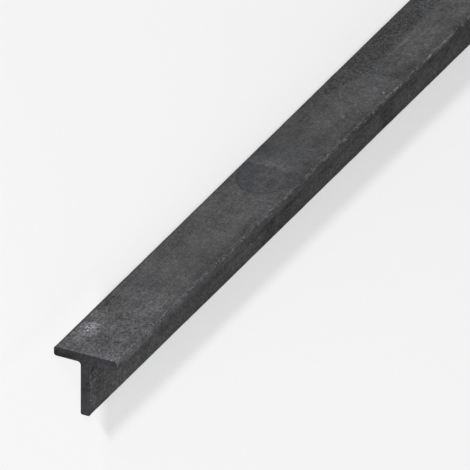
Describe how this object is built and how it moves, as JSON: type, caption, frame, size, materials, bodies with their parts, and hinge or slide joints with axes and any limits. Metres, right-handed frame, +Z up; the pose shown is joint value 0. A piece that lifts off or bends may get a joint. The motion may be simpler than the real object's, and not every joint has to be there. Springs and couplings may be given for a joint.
{
  "type": "tee profile",
  "caption": "Length of hot-rolled steel tee bar with equal flange and web, for framing, edging and brackets.",
  "frame": {"origin": "on the floor, under the middle of the bounding box of the bar as it lies", "axes": "+Z up from the floor, +Y along the bar, +X from the flange's side to the web's toe; the flange's outer face looks up and towards -X"},
  "size_m": [0.0226, 1, 0.0187],
  "materials": {
    "mill_scale_steel": "as hot-rolled, dull dark grey mill scale"
  },
  "bodies": {
    "root": {"tee_bar": "mill_scale_steel"}
  },
  "joints": []
}
